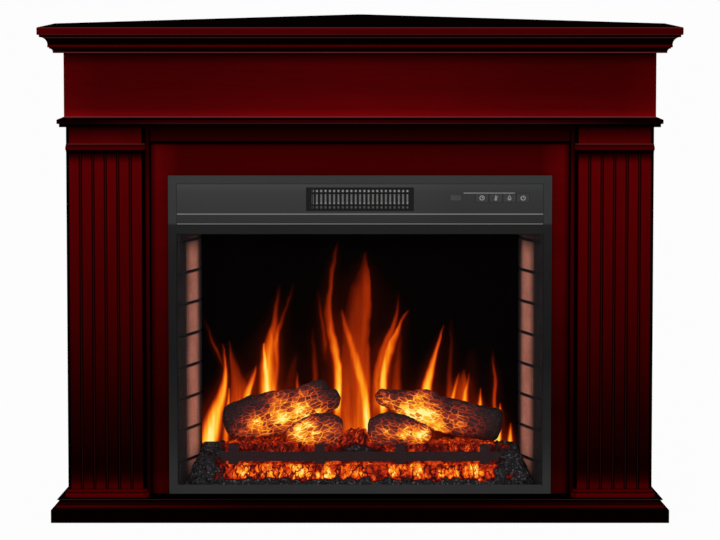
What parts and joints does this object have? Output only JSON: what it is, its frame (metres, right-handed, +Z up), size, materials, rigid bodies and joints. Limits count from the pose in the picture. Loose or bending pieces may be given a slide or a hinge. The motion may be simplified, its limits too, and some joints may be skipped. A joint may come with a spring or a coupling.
{
  "type": "corner electric fireplace",
  "caption": "Corner fireplace: mahogany surround with fluted pilasters and a mantel shelf, round a glazed electric firebox with logs, keys and a fan heater.",
  "frame": {"origin": "on the floor under the middle of the bounding box", "axes": "+Z up; +X along the front, to the right as seen from the front; +Y from the front back into the room corner"},
  "size_m": [1.1786, 0.7864, 0.9165],
  "materials": {
    "mahogany": "gloss lacquer",
    "raw_timber": "planed, unfinished",
    "zinc_steel": "zinc plated",
    "black_enamel": "satin enamel",
    "grey_panel": "satin enamel",
    "key_plastic": "satin moulding with a pale symbol",
    "display": "smoked window",
    "clear_glass": "polished",
    "brick": "moulded brick",
    "flame_screen": "diffusing screen with flame light",
    "ember_resin": "translucent moulding, lit from below",
    "log_resin": "moulded bark with glowing cracks",
    "iron": "sooted",
    "circuit": "printed board",
    "motor_steel": "plain",
    "blower_plastic": "moulded"
  },
  "bodies": {
    "fireplace": {"plinth_front": "mahogany", "plinth_left": "mahogany", "plinth_right": "mahogany", "wall_rails": "raw_timber", "hearth_board": "mahogany", "pilaster_left": "mahogany", "pilaster_right": "mahogany", "capital_left": "mahogany", "capital_right": "mahogany", "pilaster_foot_left": "mahogany", "pilaster_foot_right": "mahogany", "jamb_left": "mahogany", "jamb_right": "mahogany", "lintel": "mahogany", "front_panel": "mahogany", "side_panel_left": "mahogany", "side_panel_right": "mahogany", "ledge_front": "mahogany", "ledge_left": "mahogany", "ledge_right": "mahogany", "frieze_board": "mahogany", "cornice_front": "mahogany", "cornice_left": "mahogany", "cornice_right": "mahogany", "mantel_shelf": "mahogany", "steel_brackets": "zinc_steel", "fixing_screws": "zinc_steel", "trim_frame": "black_enamel", "control_panel": "grey_panel", "heater_grille": "black_enamel", "display_window": "display", "key_board": "circuit", "glass_pane": "clear_glass", "case_wrap": "black_enamel", "case_floor": "black_enamel", "case_back": "black_enamel", "firebox_ceiling": "black_enamel", "brick_left": "brick", "brick_right": "brick", "flame_screen": "flame_screen", "ember_bed": "ember_resin", "log_left": "log_resin", "log_left_front": "log_resin", "log_right": "log_resin", "log_right_front": "log_resin", "grate": "iron", "heating_element": "zinc_steel", "blower_housing": "zinc_steel", "blower_motor": "motor_steel", "thermal_cutout": "zinc_steel", "flame_motor": "motor_steel", "led_strip": "circuit", "power_board": "circuit", "cable_gland": "blower_plastic"},
    "timer_key": {"timer_key": "key_plastic"},
    "heat_key": {"heat_key": "key_plastic"},
    "flame_key": {"flame_key": "key_plastic"},
    "power_key": {"power_key": "key_plastic"},
    "blower_rotor": {"blower_rotor": "blower_plastic"},
    "flame_rod": {"flame_rod": "zinc_steel"}
  },
  "joints": [
    {"name": "timer_key_press", "type": "slide", "parent": "fireplace", "child": "timer_key", "axis": [0, 1, 0], "range_m": [0, 0.0008], "stiffness_N_per_m": 400},
    {"name": "heat_key_press", "type": "slide", "parent": "fireplace", "child": "heat_key", "axis": [0, 1, 0], "range_m": [0, 0.0008], "stiffness_N_per_m": 400},
    {"name": "flame_key_press", "type": "slide", "parent": "fireplace", "child": "flame_key", "axis": [0, 1, 0], "range_m": [0, 0.0008], "stiffness_N_per_m": 400},
    {"name": "power_key_press", "type": "slide", "parent": "fireplace", "child": "power_key", "axis": [0, 1, 0], "range_m": [0, 0.0008], "stiffness_N_per_m": 400},
    {"name": "blower_spin", "type": "hinge", "parent": "fireplace", "child": "blower_rotor", "pos_m": [0.004, -0.15164, 0.59475], "axis": [1, 0, 0], "continuous": true},
    {"name": "flame_rod_spin", "type": "hinge", "parent": "fireplace", "child": "flame_rod", "pos_m": [0, -0.14804, 0.1142], "axis": [1, 0, 0], "continuous": true}
  ]
}
